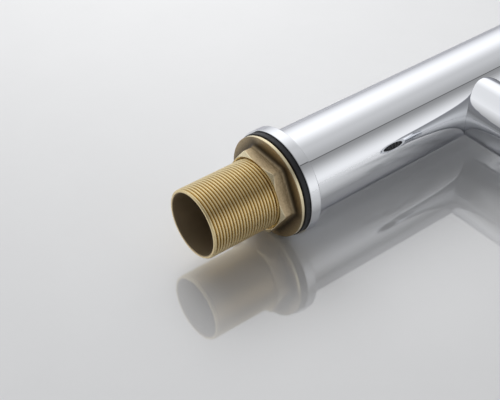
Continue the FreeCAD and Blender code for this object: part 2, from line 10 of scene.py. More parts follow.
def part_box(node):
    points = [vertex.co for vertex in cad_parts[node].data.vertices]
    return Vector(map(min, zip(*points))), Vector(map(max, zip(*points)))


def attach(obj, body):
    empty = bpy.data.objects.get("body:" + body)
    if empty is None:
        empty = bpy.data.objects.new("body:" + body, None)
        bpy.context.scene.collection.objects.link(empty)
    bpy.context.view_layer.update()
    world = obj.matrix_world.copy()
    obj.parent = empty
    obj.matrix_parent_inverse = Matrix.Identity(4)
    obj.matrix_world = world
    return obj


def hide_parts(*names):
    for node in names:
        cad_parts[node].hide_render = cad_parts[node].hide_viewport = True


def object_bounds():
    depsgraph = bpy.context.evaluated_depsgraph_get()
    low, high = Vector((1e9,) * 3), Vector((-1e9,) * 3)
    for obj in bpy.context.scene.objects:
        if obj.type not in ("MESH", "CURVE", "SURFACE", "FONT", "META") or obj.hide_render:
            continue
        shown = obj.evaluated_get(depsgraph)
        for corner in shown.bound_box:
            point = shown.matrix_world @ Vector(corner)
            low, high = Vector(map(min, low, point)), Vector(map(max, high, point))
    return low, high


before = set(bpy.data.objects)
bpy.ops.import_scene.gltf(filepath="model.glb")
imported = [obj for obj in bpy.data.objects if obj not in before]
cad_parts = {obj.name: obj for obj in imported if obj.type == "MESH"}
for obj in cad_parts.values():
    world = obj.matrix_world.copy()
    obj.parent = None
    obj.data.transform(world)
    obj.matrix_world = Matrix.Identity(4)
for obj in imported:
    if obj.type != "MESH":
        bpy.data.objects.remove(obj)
cad_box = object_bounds()

# One millimetre in metres
mm = 0.001

# Mesh fineness: distances in millimetres, and how many steps a shape is made of
merge_gap = 0.0005
pick_gap = 0.01
guard = 0.12
round_steps = 5
turn_steps = 144
thread_steps = 120
hex_steps = 288
hex_bevel_steps = 14
hex_foot_steps = 10
rod_steps = 96
small_hole_steps = 72
dome_steps = 14
dome_in_steps = 10
cap_steps = 18
table_steps = 96
sharp_angle = math.radians(32.0)

# Shank and thread
thread_r = 16.0
thread_root_r = 15.15
thread_pitch = 1.5
thread_start = -45.0
thread_spare_turns = 3
flank_angle = math.radians(30.0)
crest_half = 0.22
crest_round = 0.07
plain_r = 16.05
plain_low = -1.2
shank_bore_r = 14.43
shank_tip_r = 15.5
shank_tip_band = 0.9
shank_tip_bevel = 0.5
shank_mouth_bevel = 0.2

# Lock nut
nut_minor_r = 15.45
nut_major_r = 16.15
nut_thread_play = 0.15
nut_mouth_r = 17.1
nut_exit_r = 16.3
nut_flange_t = 2.23
hex_half_flats = 17.2
hex_corner_at = math.radians(34.0)
hex_sharpness = 38.0
hex_bevel_r = 17.5
hex_bevel_h = 1.6
hex_bevel_angle = math.radians(30.0)
hex_bevel_blend = 0.1
hex_foot_round = 1.6
flange_edge = 0.3
flange_facet = 0.1
flange_back_edge = 0.7
# How far the soil and painted shade round the hexagon's foot reach, and how far out an extra flange ring
# stands to carry them
soil_and_shade_reach_out = 5.4
soil_and_shade_reach_up = 1.3
soil_and_shade_ring = 1.2

# Base ring and washer
ring_hole_r = 16.15
ring_recess = 0.45
ring_lip_w = 0.4
ring_lip_bevel = 0.2
ring_edge = 0.5
washer_hole_r = 16.45
washer_edge = 0.35

# Body
body_hole_r = 16.1
body_bore_r = 17.5
body_seat_r = 18.3
body_seat_z = 147.83
body_floor_z = 22.1
body_edge = 0.3
hole_surround = 2.0

# Spout
spout_z = 114.0
spout_r = 15.0
spout_bore_r = 13.5
spout_wall = 1.5
spout_socket_r = 10.05
spout_socket_out = 31.3
spout_saddle_r = 17.4
spout_hole_r = 15.05
spout_end_round = 2.5
outlet_y = -75.0
collar_r = 12.0
collar_top_z = 108.5
mouth_r = 11.0
mouth_top_z = 101.3
throat_r = 8.7
aerator_wall = 1.3
aerator_lip = 0.7
aerator_edge = 0.15

# Dome and cap handle, both struck from the spindle's pivot
pivot_z = 143.5
dome_r = 26.0
dome_in_r = 24.2
dome_hole_angle = math.radians(24.5)
dome_foot_r = 20.2
dome_foot_gap = 0.05
dome_skirt_r = 18.2
dome_skirt_in_r = 16.5
cap_r = 26.6
cap_side_r = 20.5
cap_edge = 0.8
cap_low_edge = 0.25
spindle_lean = math.radians(12.5)
spindle_side = 7.1
spindle_top = 36.3
plug_hole_r = 2.55
plug_above_pivot = 29.2
plug_depth = 1.8

# Lever rod
rod_r = 4.0
rod_len = 60.0
rod_slope = math.radians(8.0)
rod_foot = Vector((0.0, -19.3, 177.0))
rod_tenon_r = 3.0
rod_tenon_len = 6.0
rod_tip_round = 1.2
rod_play = 0.05
tenon_end_gap = 0.3
cutter_overrun = 1.0

# Camera and table, in the tap's own frame. The table lies on the +X side and its upward way is -X.
camera_stand = Vector((-295.995, -279.431, -234.223))
camera_aim = Vector((0.0, -2.285, -15.722))
table_up = Vector((-1.0, 0.0, 0.0))
table_x = cad_box[1][0] / mm
table_r = 700.0
sensor_w = 36.0
lens = 77.13


def node_box(node):
    """A CAD node's lowest and highest corners in millimetres."""
    low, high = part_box(node)
    return low / mm, high / mm


def radius_of(vert):
    return math.hypot(vert.co.x, vert.co.y)


# Shells

def with_guards(outline):
    """The outline's corners, with a guard point on each side of a rounded one.

    The guard points keep the shading of a long flat face flat up to its rounding.
    """
    points = []
    for k, (r, z, rounding) in enumerate(outline):
        here = Vector((r, z))
        before = Vector(outline[k - 1][:2])
        after = Vector(outline[(k + 1) % len(outline)][:2])
        if rounding:
            points.append(here + (before - here).normalized() * (rounding + guard))
        points.append(here)
        if rounding:
            points.append(here + (after - here).normalized() * (rounding + guard))
    return points


def spin_path(bm, points, closed, steps=turn_steps):
    """Turns a path of radius and height pairs once about Z."""
    verts = [bm.verts.new((r, 0.0, z)) for r, z in points]
    pairs = list(zip(verts, verts[1:]))
    if closed:
        pairs.append((verts[-1], verts[0]))
    edges = [bm.edges.new(pair) for pair in pairs]
    bmesh.ops.spin(
        bm, geom=verts + edges, cent=(0, 0, 0), axis=(0, 0, 1), dvec=(0, 0, 0),
        angle=math.tau, steps=steps, use_merge=True, use_duplicate=False,
    )


def close_up(bm):
    """Merges doubled points and turns every face outwards."""
    bmesh.ops.remove_doubles(bm, verts=bm.verts, dist=merge_gap)
    bmesh.ops.recalc_face_normals(bm, faces=bm.faces)


def round_edge(bm, r, z, width):
    """Rounds the circular edge of a turned shell at one radius and height."""
    picked = []
    for edge in bm.edges:
        if all(abs(radius_of(v) - r) < pick_gap and abs(v.co.z - z) < pick_gap for v in edge.verts):
            picked.append(edge)
    bmesh.ops.bevel(
        bm, geom=picked, offset=width, offset_type="OFFSET", segments=round_steps,
        profile=0.5, affect="EDGES", material=-1, clamp_overlap=False,
    )


def turned(outline, steps=turn_steps):
    """A closed shell turned about Z from radius, height and corner rounding."""
    bm = bmesh.new()
    spin_path(bm, with_guards(outline), closed=outline[0][0] > 0.0, steps=steps)
    close_up(bm)
    for r, z, rounding in outline:
        if rounding:
            round_edge(bm, r, z, rounding)
    return bm


def plug(r, length, place, steps=turn_steps):
    """A round cutter that starts at a placement and runs along its Z axis."""
    bm = bmesh.new()
    bmesh.ops.create_cone(
        bm, cap_ends=True, cap_tris=False, segments=steps, radius1=r, radius2=r, depth=length,
        matrix=place @ Matrix.Translation((0.0, 0.0, length / 2.0)),
    )
    return bm


def as_object(bm, name):
    """An object that takes over the mesh of a bmesh."""
    mesh = bpy.data.meshes.new(name)
    bm.to_mesh(mesh)
    bm.free()
    made = bpy.data.objects.new(name, mesh)
    bpy.context.scene.collection.objects.link(made)
    return made


def carve(bm, tool, operation="DIFFERENCE"):
    """The shell with another shell cut away from it, or joined to it."""
    base = as_object(bm, "carved")
    cutter = as_object(tool, "cutter")
    modifier = base.modifiers.new("carve", "BOOLEAN")
    modifier.object = cutter
    modifier.operation = operation
    modifier.solver = "EXACT"
    bpy.context.view_layer.update()
    mesh = bpy.data.meshes.new_from_object(base.evaluated_get(bpy.context.evaluated_depsgraph_get()))
    result = bmesh.new()
    result.from_mesh(mesh)
    for spent in (base, cutter):
        data = spent.data
        bpy.data.objects.remove(spent)
        bpy.data.meshes.remove(data)
    bpy.data.meshes.remove(mesh)
    bmesh.ops.remove_doubles(result, verts=result.verts, dist=merge_gap)
    return result


def piece(bm, name, node, material, body="tap"):
    """Shades a finished shell smooth up to its sharp edges, scales it to metres and puts it on its body."""
    bmesh.ops.scale(bm, vec=(mm, mm, mm), verts=bm.verts)
    for face in bm.faces:
        face.smooth = True
    for edge in bm.edges:
        edge.smooth = len(edge.link_faces) == 2 and edge.calc_face_angle(math.pi) < sharp_angle
    made = as_object(bm, name)
    made.data.materials.append(material)
    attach(made, body)
    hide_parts(node)


def smooth_copy(node, name, material, body="tap"):
    """A merged and smoothly shaded copy of a CAD node."""
    bm = bmesh.new()
    bm.from_mesh(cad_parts[node].data)
    bmesh.ops.scale(bm, vec=(1.0 / mm, 1.0 / mm, 1.0 / mm), verts=bm.verts)
    bmesh.ops.remove_doubles(bm, verts=bm.verts, dist=merge_gap)
    piece(bm, name, node, material, body)


def thread_wall(bm, profile, low_z, high_z):
    """A helical wall from one pitch of profile, given as radius and height, with level ends."""
    turns = math.ceil((high_z - low_z) / thread_pitch) + thread_spare_turns
    below = math.floor((low_z - thread_start) / thread_pitch) - 1
    start_z = thread_start + below * thread_pitch
    verts = [bm.verts.new((r, 0.0, start_z + z)) for r, z in profile]
    edges = [bm.edges.new(pair) for pair in zip(verts, verts[1:])]
    bmesh.ops.spin(
        bm, geom=verts + edges, cent=(0, 0, 0), axis=(0, 0, 1),
        dvec=(0, 0, thread_pitch / thread_steps), angle=math.tau,
        steps=thread_steps, use_merge=False, use_duplicate=False,
    )
    one_turn = bm.verts[:] + bm.edges[:] + bm.faces[:]
    for k in range(1, turns):
        copied = bmesh.ops.duplicate(bm, geom=one_turn)["geom"]
        copied_verts = [v for v in copied if isinstance(v, bmesh.types.BMVert)]
        bmesh.ops.translate(bm, vec=(0.0, 0.0, k * thread_pitch), verts=copied_verts)
    bmesh.ops.remove_doubles(bm, verts=bm.verts, dist=merge_gap)
    for z, side in ((low_z, -1.0), (high_z, 1.0)):
        cut_level(bm, z, side)


def cut_level(bm, z, side=0.0):
    """Cuts a ring of edges round a shell at one height, and drops what lies beyond it on a given side."""
    bmesh.ops.bisect_plane(
        bm, geom=bm.verts[:] + bm.edges[:] + bm.faces[:], dist=merge_gap / 10.0,
        plane_co=(0.0, 0.0, z), plane_no=(0.0, 0.0, side or 1.0), clear_outer=side != 0.0,
    )


def open_loop(bm, z, r_low, r_high):
    """The open edges at one height between two radii."""
    found = []
    for edge in bm.edges:
        if len(edge.link_faces) == 1 and all(
            abs(v.co.z - z) < pick_gap and r_low < radius_of(v) < r_high for v in edge.verts
        ):
            found.append(edge)
    return found


# Pieces of the shank end

def ridge_half(r, play=0.0):
    """Half the thread ridge's width along the axis at a radius, with play added square to its flanks."""
    return crest_half + math.tan(flank_angle) * (thread_r - r) + play / math.cos(flank_angle)


def shape_tip(bm, low_z):
    """Bevels the start of the shank's thread, with a plain band up to its first full turn."""
    for v in bm.verts:
        above = v.co.z - low_z
        most = shank_tip_r + above if above < shank_tip_bevel else thread_r
        least = shank_tip_r if above < shank_tip_band - pick_gap else thread_root_r
        wanted = min(max(radius_of(v), least), most)
        v.co.xy *= wanted / radius_of(v)


def threaded_shank(material):
    low, high = node_box("threaded_shank")
    low_z = low.z
    rise = [
        (thread_root_r, -thread_pitch / 2.0),
        (thread_root_r, -ridge_half(thread_root_r)),
        (thread_r - crest_round, -ridge_half(thread_r - crest_round)),
        (thread_r, -crest_half / 2.0),
    ]
    profile = rise + [(r, -z) for r, z in reversed(rise)]
    bm = bmesh.new()
    thread_wall(bm, profile, low_z, plain_low)
    cut_level(bm, low_z + shank_tip_bevel)
    cut_level(bm, low_z + shank_tip_band)
    shape_tip(bm, low_z)
    tube = [
        (shank_bore_r + shank_mouth_bevel, low_z),
        (shank_bore_r, low_z + shank_mouth_bevel),
        (shank_bore_r, high.z),
        (plain_r, high.z),
        (plain_r, plain_low),
    ]
    spin_path(bm, tube, closed=False, steps=thread_steps)
    middle_r = (shank_bore_r + shank_tip_r) / 2.0
    rim = open_loop(bm, low_z, 0.0, middle_r) + open_loop(bm, low_z, middle_r, plain_r + guard)
    bmesh.ops.bridge_loops(bm, edges=rim)
    bmesh.ops.bridge_loops(bm, edges=open_loop(bm, plain_low, thread_root_r - guard, plain_r + guard))
    close_up(bm)
    piece(bm, "shank_thread", "threaded_shank", material)


def hex_radius(angle):
    """How far the hexagon's side stands from the axis at an angle. Its corners are a little soft."""
    total = 0.0
    for k in range(6):
        facing = math.cos(angle - hex_corner_at - math.radians(30.0 + 60.0 * k))
        total += max(facing, 0.0) ** hex_sharpness
    return hex_half_flats / total ** (1.0 / hex_sharpness)


def softer_least(a, b):
    """The lesser of two lengths, blended where they are nearly equal."""
    return -hex_bevel_blend * math.log(math.exp(-a / hex_bevel_blend) + math.exp(-b / hex_bevel_blend))


def ring_stack(bm, rings, steps):
    """A wall raised ring by ring, where each ring has its radius by angle and its height."""
    bmesh.ops.create_circle(bm, cap_ends=False, radius=1.0, segments=steps)
    edges = bm.edges[:]
    verts = bm.verts[:]
    for k, (radius_at, z) in enumerate(rings):
        if k > 0:
            raised = bmesh.ops.extrude_edge_only(bm, edges=edges)["geom"]
            edges = [e for e in raised if isinstance(e, bmesh.types.BMEdge)]
            verts = [v for v in raised if isinstance(v, bmesh.types.BMVert)]
        for v in verts:
            angle = math.atan2(v.co.y, v.co.x)
            r = radius_at(angle)
            v.co = (r * math.cos(angle), r * math.sin(angle), z)


def circle(r):
    """A ring's radius that is the same at every angle."""
    return lambda angle: r


def hexagon_rings(low_z, foot_z):
    """The nut's hexagon: a cone cuts its corners at the low end, and a round joins it to the flange."""
    rings = []
    for k in range(hex_bevel_steps + 1):
        rise = hex_bevel_h * k / hex_bevel_steps
        cone_r = hex_bevel_r + rise / math.tan(hex_bevel_angle)
        rings.append((lambda a, c=cone_r: softer_least(hex_radius(a), c), low_z + rise))
    for k in range(hex_foot_steps + 1):
        turn = math.pi / 2.0 * k / hex_foot_steps
        out = hex_foot_round * (1.0 - math.cos(turn))
        z = foot_z - hex_foot_round * (1.0 - math.sin(turn))
        rings.append((lambda a, o=out: hex_radius(a) + o, z))
    # An extra ring on the flange, to carry the soil and painted shade round the hexagon's foot
    rings.append((lambda a: hex_radius(a) + hex_foot_round + soil_and_shade_ring, foot_z))
    return rings


def flange_rings(flange_r, low_z, high_z):
    """The nut's flange, from its hexagon side round its rim to its washer side."""
    return [
        (circle(flange_r - flange_edge - guard), low_z),
        (circle(flange_r - flange_edge), low_z),
        (circle(flange_r - flange_facet), low_z + flange_facet),
        (circle(flange_r), low_z + flange_edge),
        (circle(flange_r), high_z - flange_back_edge),
        (circle(flange_r - flange_back_edge), high_z),
    ]


def add_nut_thread(bm, low_z, high_z):
    """Adds the nut's inner thread to its shell, open at both heights."""
    groove = [
        (nut_minor_r, -thread_pitch / 2.0),
        (nut_minor_r, -ridge_half(nut_minor_r, nut_thread_play)),
        (nut_major_r, -ridge_half(nut_major_r, nut_thread_play)),
    ]
    wall = bmesh.new()
    thread_wall(wall, groove + [(r, -z) for r, z in reversed(groove)], low_z, high_z)
    joined = bpy.data.meshes.new("nut_thread")
    wall.to_mesh(joined)
    wall.free()
    bm.from_mesh(joined)
    bpy.data.meshes.remove(joined)


def mark_machined_highlight(bm, rim_r, bevel_top):
    """Marks the flange's rim and the hexagon's bevel, which are cut bright, as machined faces, whose colour
    carries a painted highlight too.
    """
    upright = 0.1
    looks_down = -0.3
    machined_with_highlight = bm.faces.layers.float.new("machined_with_highlight")
    for face in bm.faces:
        rim = radius_of(face.verts[0]) > rim_r - pick_gap and abs(face.normal.z) < upright
        bevel = face.normal.z < looks_down and face.calc_center_median().z < bevel_top
        face[machined_with_highlight] = float(rim or bevel)


def mark_soil_and_shade(bm, foot_z):
    """Marks how much soil and painted shade each point gets: round the hexagon's foot it is partly soil and
    partly painted shade, and in the mouth it is painted shade only.
    """
    soil_and_shade = bm.verts.layers.float.new("soil_and_shade")
    for vert in bm.verts:
        out = radius_of(vert) - hex_radius(math.atan2(vert.co.y, vert.co.x))
        from_foot = math.hypot(max(out, 0.0) / soil_and_shade_reach_out, (vert.co.z - foot_z) / soil_and_shade_reach_up)
        in_mouth = radius_of(vert) < nut_mouth_r - pick_gap
        vert[soil_and_shade] = 1.0 if in_mouth else math.exp(-(from_foot ** 2))


def lock_nut(material):
    low, high = node_box("lock_nut")
    flange_r = high.x
    flange_low = high.z - nut_flange_t
    mouth_out_r = nut_major_r + guard
    mouth_z = low.z + nut_mouth_r - mouth_out_r
    exit_z = high.z - guard
    rings = [(circle(mouth_out_r), mouth_z), (circle(nut_mouth_r), low.z)]
    rings += hexagon_rings(low.z, flange_low)
    rings += flange_rings(flange_r, flange_low, high.z)
    rings += [(circle(nut_exit_r), high.z), (circle(mouth_out_r), exit_z)]
    bm = bmesh.new()
    ring_stack(bm, rings, hex_steps)
    thread_low = mouth_z + guard
    thread_high = exit_z - guard
    add_nut_thread(bm, thread_low, thread_high)
    for ring_z, thread_z in ((mouth_z, thread_low), (exit_z, thread_high)):
        ends = open_loop(bm, ring_z, nut_major_r, nut_exit_r)
        ends += open_loop(bm, thread_z, nut_minor_r - guard, nut_major_r + pick_gap)
        bmesh.ops.bridge_loops(bm, edges=ends)
    close_up(bm)
    mark_machined_highlight(bm, flange_r - flange_facet, low.z + hex_bevel_h)
    mark_soil_and_shade(bm, flange_low)
    piece(bm, "nut_forging", "lock_nut", material, "nut")


def rubber_washer(material):
    low, high = node_box("rubber_washer")
    bm = turned([
        (washer_hole_r, low.z, washer_edge),
        (high.x, low.z, washer_edge),
        (high.x, high.z, washer_edge),
        (washer_hole_r, high.z, washer_edge),
    ])
    piece(bm, "washer_rubber", "rubber_washer", material, "washer")


def base_ring(material):
    low, high = node_box("base_ring")
    lip_r = high.x - ring_lip_bevel
    bm = turned([
        (ring_hole_r, ring_recess, 0.0),
        (lip_r - ring_lip_w, ring_recess, 0.0),
        (lip_r - ring_lip_w, low.z, 0.0),
        (lip_r, low.z, 0.0),
        (high.x, low.z + ring_lip_bevel, 0.0),
        (high.x, high.z, ring_edge),
        (ring_hole_r, high.z, 0.0),
    ])
    piece(bm, "ring_chrome", "base_ring", material)


# Pieces of the body and spout

def along_spout():
    """Turns what runs along Z to run forwards from the axis at the spout's level."""
    return Matrix.Translation((0.0, 0.0, spout_z)) @ Matrix.Rotation(math.pi / 2.0, 4, "X")


def body_shell(material):
    low, high = node_box("body_shell")
    near_hole = spout_hole_r + hole_surround
    bm = turned([
        (body_hole_r, low.z, 0.0),
        (high.x, low.z, body_edge),
        (high.x, spout_z - near_hole, 0.0),
        (high.x, spout_z + near_hole, 0.0),
        (high.x, high.z, body_edge),
        (body_seat_r, high.z, 0.0),
        (body_seat_r, body_seat_z, 0.0),
        (body_bore_r, body_seat_z, 0.0),
        (body_bore_r, body_floor_z, 0.0),
        (body_hole_r, body_floor_z, 0.0),
    ])
    bm = carve(bm, plug(spout_hole_r, high.x * 2.0, along_spout()))
    piece(bm, "body_chrome", "body_shell", material)


def spout_tube(material):
    low = node_box("spout_tube")[0]
    end = -low.y
    root = spout_saddle_r / 2.0
    bm = turned([
        (0.0, end, 0.0),
        (spout_r, end, spout_end_round),
        (spout_r, root, 0.0),
        (spout_socket_r, root, 0.0),
        (spout_socket_r, spout_socket_out, 0.0),
        (spout_bore_r, spout_socket_out, 0.0),
        (spout_bore_r, end - spout_wall, 0.0),
        (0.0, end - spout_wall, 0.0),
    ])
    bmesh.ops.transform(bm, matrix=along_spout(), verts=bm.verts)
    below_spout = Matrix.Translation((0.0, 0.0, spout_z - spout_r * 2.0))
    bm = carve(bm, plug(spout_saddle_r, spout_r * 4.0, below_spout))
    at_outlet = Matrix.Translation((0.0, outlet_y, low.z))
    bm = carve(bm, plug(collar_r, collar_top_z - low.z, at_outlet), "UNION")
    below_outlet = Matrix.Translation((0.0, outlet_y, low.z - cutter_overrun))
    bm = carve(bm, plug(mouth_r, mouth_top_z - low.z + cutter_overrun, below_outlet))
    bm = carve(bm, plug(throat_r, spout_z - low.z, below_outlet))
    piece(bm, "spout_chrome", "spout_tube", material)


def aerator_housing(material):
    low, high = node_box("aerator_housing")
    r = high.x
    bm = turned([
        (r - aerator_wall - aerator_lip, low.z, aerator_edge),
        (r, low.z, aerator_edge),
        (r, high.z, 0.0),
        (r - aerator_wall, high.z, 0.0),
        (r - aerator_wall, low.z + aerator_lip, 0.0),
        (r - aerator_wall - aerator_lip, low.z + aerator_lip, 0.0),
    ])
    bmesh.ops.translate(bm, vec=(0.0, outlet_y, 0.0), verts=bm.verts)
    piece(bm, "aerator_chrome", "aerator_housing", material)


# Pieces of the handle

def arc(r, start, end, steps):
    """Sharp outline points on a circle struck from the pivot, by angle from straight up."""
    points = []
    for k in range(steps + 1):
        angle = start + (end - start) * k / steps
        points.append((r * math.sin(angle), pivot_z + r * math.cos(angle), 0.0))
    return points


def dome_cap(material):
    low_z = node_box("dome_cap")[0].z
    foot_z = node_box("body_shell")[1].z + dome_foot_gap
    outer_end = math.asin(dome_foot_r / dome_r)
    inner_end = math.asin(dome_skirt_in_r / dome_in_r)
    outline = arc(dome_r, dome_hole_angle, outer_end, dome_steps)
    outline += [
        (dome_foot_r, foot_z, 0.0),
        (dome_skirt_r, foot_z, 0.0),
        (dome_skirt_r, low_z, 0.0),
        (dome_skirt_in_r, low_z, 0.0),
    ]
    outline += arc(dome_in_r, inner_end, dome_hole_angle, dome_in_steps)
    bm = turned(outline)
    piece(bm, "dome_chrome", "dome_cap", material)


def tilted(start, way):
    """A placement at a point, with its Z axis along a direction."""
    turn = way.to_track_quat("Z", "X").to_matrix().to_4x4()
    return Matrix.Translation(start) @ turn


def rod_way():
    """The lever rod's direction, forwards and a little up."""
    return Vector((0.0, -math.cos(rod_slope), math.sin(rod_slope)))


def plug_hole():
    """The index plug's hole, which looks along the spindle's lean square to the cap's front."""
    up = Vector((0.0, -math.sin(spindle_lean), math.cos(spindle_lean)))
    front = Vector((0.0, -math.cos(spindle_lean), -math.sin(spindle_lean)))
    on_axis = Vector((0.0, 0.0, pivot_z)) + up * plug_above_pivot
    to_face = (cap_side_r + on_axis.y) / math.cos(spindle_lean)
    return plug(
        plug_hole_r, cap_side_r, tilted(on_axis + front * (to_face - plug_depth), front), small_hole_steps,
    )


def tenon_hole():
    """The narrow end of the lever rod's hole."""
    start = rod_foot - rod_way() * (rod_tenon_len + tenon_end_gap)
    return plug(
        rod_tenon_r + rod_play, rod_tenon_len + cutter_overrun, tilted(start, rod_way()), small_hole_steps,
    )


def spindle_socket():
    """The square hole for the spindle's upper end."""
    bm = bmesh.new()
    bmesh.ops.create_cube(bm, size=1.0)
    bmesh.ops.scale(bm, vec=(spindle_side, spindle_side, spindle_top), verts=bm.verts)
    bmesh.ops.translate(bm, vec=(0.0, 0.0, spindle_top / 2.0), verts=bm.verts)
    lean = Matrix.Translation((0.0, 0.0, pivot_z)) @ Matrix.Rotation(spindle_lean, 4, "X")
    bmesh.ops.transform(bm, matrix=lean, verts=bm.verts)
    return bm


def handle_cap(material):
    high_z = node_box("handle_cap")[1].z
    end = math.asin((cap_side_r - cap_low_edge) / cap_r)
    low_z = pivot_z + cap_r * math.cos(end)
    outline = arc(cap_r, 0.0, end, cap_steps)
    outline[0] = (0.0, pivot_z + cap_r, 0.0)
    outline += [
        (cap_side_r, low_z + cap_low_edge, 0.0),
        (cap_side_r, low_z + cap_low_edge + guard, 0.0),
        (cap_side_r, high_z, cap_edge),
        (0.0, high_z, 0.0),
    ]
    bm = turned(outline)
    bm = carve(bm, plug_hole())
    bm = carve(bm, plug(rod_r + rod_play, cap_side_r, tilted(rod_foot, rod_way()), rod_steps))
    bm = carve(bm, tenon_hole())
    bm = carve(bm, spindle_socket())
    piece(bm, "cap_chrome", "handle_cap", material, "lever")


def lever_rod(material):
    bm = turned([
        (0.0, -rod_tenon_len, 0.0),
        (rod_tenon_r, -rod_tenon_len, 0.0),
        (rod_tenon_r, 0.0, 0.0),
        (rod_r, 0.0, 0.0),
        (rod_r, rod_len, rod_tip_round),
        (0.0, rod_len, 0.0),
    ], rod_steps)
    bmesh.ops.transform(bm, matrix=tilted(rod_foot, rod_way()), verts=bm.verts)
    piece(bm, "rod_chrome", "lever_rod", material, "lever")


# Shader node groups

def new_group(name, inputs, outputs):
    """An empty shader group with float inputs and outputs."""
    group = bpy.data.node_groups.new(name, "ShaderNodeTree")
    for title, value in inputs:
        socket = group.interface.new_socket(title, in_out="INPUT", socket_type="NodeSocketFloat")
        socket.default_value = value
    for title in outputs:
        group.interface.new_socket(title, in_out="OUTPUT", socket_type="NodeSocketFloat")
    return group, group.nodes.new("NodeGroupInput"), group.nodes.new("NodeGroupOutput")


def math_node(tree, operation, first, second=None):
    """A Math node fed by sockets or numbers."""
    node = tree.nodes.new("ShaderNodeMath")
    node.operation = operation
    for socket, value in zip(node.inputs, (first, second)):
        if isinstance(value, bpy.types.NodeSocket):
            tree.links.new(value, socket)
        elif value is not None:
            socket.default_value = value
    return node.outputs[0]


def place_axes(tree, coordinates="Object"):
    """The X, Y and Z of a shading point's place, or of a direction in the world."""
    place = tree.nodes.new("ShaderNodeTexCoord")
    split = tree.nodes.new("ShaderNodeSeparateXYZ")
    tree.links.new(place.outputs[coordinates], split.inputs[0])
    return split.outputs


def grain_group():
    """Fine isotropic grain: a height for bumps and a mask for colour, both from 0 to 1."""
    group, inside, outside = new_group(
        "Fine grain", (("Scale", 1500.0), ("Patch scale", 300.0)), ("Height", "Patches")
    )
    place = group.nodes.new("ShaderNodeTexCoord")
    for title, output in (("Scale", "Height"), ("Patch scale", "Patches")):
        noise = group.nodes.new("ShaderNodeTexNoise")
        noise.inputs["Detail"].default_value = 4.0
        noise.inputs["Roughness"].default_value = 0.6
        group.links.new(place.outputs["Object"], noise.inputs["Vector"])
        group.links.new(inside.outputs[title], noise.inputs["Scale"])
        group.links.new(noise.outputs["Fac"], outside.inputs[output])
    return group


def turning_group():
    """Lathe marks round the Z axis: bands by height that waver a little round the piece."""
    group, inside, outside = new_group(
        "Turning marks", (("Fineness", 9000.0), ("Waver", 0.02)), ("Height",)
    )
    axes = place_axes(group)
    noise = group.nodes.new("ShaderNodeTexNoise")
    noise.noise_dimensions = "2D"
    noise.inputs["Detail"].default_value = 3.0
    noise.inputs["Scale"].default_value = 1.0
    around = math_node(group, "ARCTAN2", axes["Y"], axes["X"])
    across = math_node(group, "MULTIPLY", around, inside.outputs["Waver"])
    along = math_node(group, "MULTIPLY", axes["Z"], inside.outputs["Fineness"])
    spot = group.nodes.new("ShaderNodeCombineXYZ")
    group.links.new(along, spot.inputs["X"])
    group.links.new(across, spot.inputs["Y"])
    group.links.new(spot.outputs[0], noise.inputs["Vector"])
    group.links.new(noise.outputs["Fac"], outside.inputs["Height"])
    return group


def radius_group():
    """A mask that is 1 beyond a radius from the Z axis and 0 within it."""
    group, inside, outside = new_group(
        "Beyond radius", (("Radius", 0.02), ("Softness", 0.0001)), ("Mask",)
    )
    axes = place_axes(group)
    x2 = math_node(group, "MULTIPLY", axes["X"], axes["X"])
    y2 = math_node(group, "MULTIPLY", axes["Y"], axes["Y"])
    r = math_node(group, "SQRT", math_node(group, "ADD", x2, y2))
    past = math_node(group, "SUBTRACT", r, inside.outputs["Radius"])
    share = math_node(group, "DIVIDE", past, inside.outputs["Softness"])
    clamp = group.nodes.new("ShaderNodeClamp")
    group.links.new(share, clamp.inputs["Value"])
    group.links.new(clamp.outputs[0], outside.inputs["Mask"])
    return group


grain = grain_group()
turning = turning_group()
beyond = radius_group()


# Materials

def new_material(name, color, metallic, roughness):
    """A material with its tree and Principled shader set to plain values."""
    material = bpy.data.materials.new(name)
    material.use_nodes = True
    shader = material.node_tree.nodes["Principled BSDF"]
    shader.inputs["Base Color"].default_value = (*color, 1.0)
    shader.inputs["Metallic"].default_value = metallic
    shader.inputs["Roughness"].default_value = roughness
    return material, material.node_tree, shader


def use_group(tree, group, **values):
    """A group placed in a material, with its named inputs set."""
    node = tree.nodes.new("ShaderNodeGroup")
    node.node_tree = group
    for title, value in values.items():
        node.inputs[title.replace("_", " ")].default_value = value
    return node


def spread(tree, source, low, high, start=0.3, end=0.7):
    """A value moved from one range to another and held at its ends. Noise fills about 0.3 to 0.7."""
    node = tree.nodes.new("ShaderNodeMapRange")
    node.inputs["From Min"].default_value = start
    node.inputs["From Max"].default_value = end
    node.inputs["To Min"].default_value = low
    node.inputs["To Max"].default_value = high
    tree.links.new(source, node.inputs["Value"])
    return node.outputs["Result"]


def blend_colors(tree, mask, low, high):
    """A colour between two, each a colour or a socket, by a mask."""
    node = tree.nodes.new("ShaderNodeMix")
    node.data_type = "RGBA"
    tree.links.new(mask, node.inputs["Factor"])
    for title, value in (("A", low), ("B", high)):
        socket = [s for s in node.inputs if s.name == title and s.type == "RGBA"][0]
        if isinstance(value, bpy.types.NodeSocket):
            tree.links.new(value, socket)
        else:
            socket.default_value = (*value, 1.0)
    return [s for s in node.outputs if s.type == "RGBA"][0]


def raise_bump(tree, shader, height, strength, distance):
    """Feeds a height to the shader's normal, where a height of 1 stands a distance in millimetres proud."""
    node = tree.nodes.new("ShaderNodeBump")
    node.inputs["Strength"].default_value = strength
    node.inputs["Distance"].default_value = distance * mm
    tree.links.new(height, node.inputs["Height"])
    tree.links.new(node.outputs["Normal"], shader.inputs["Normal"])


# How chrome reflects where it is seen almost edge-on
chrome_edge_tint = (0.55, 0.55, 0.58)

# Where the shank's colour changes, in millimetres: its bore ends at one radius and its bright crests begin
# at another, and the band at its tip is as bright as the crests. The darker flanks between the crests are
# painted shade in the grooves.
shank_outside_r = 14.7
shank_crest_r = 15.5
shank_bright_tip_below = -43.8
shank_groove_shade_above = -43.6


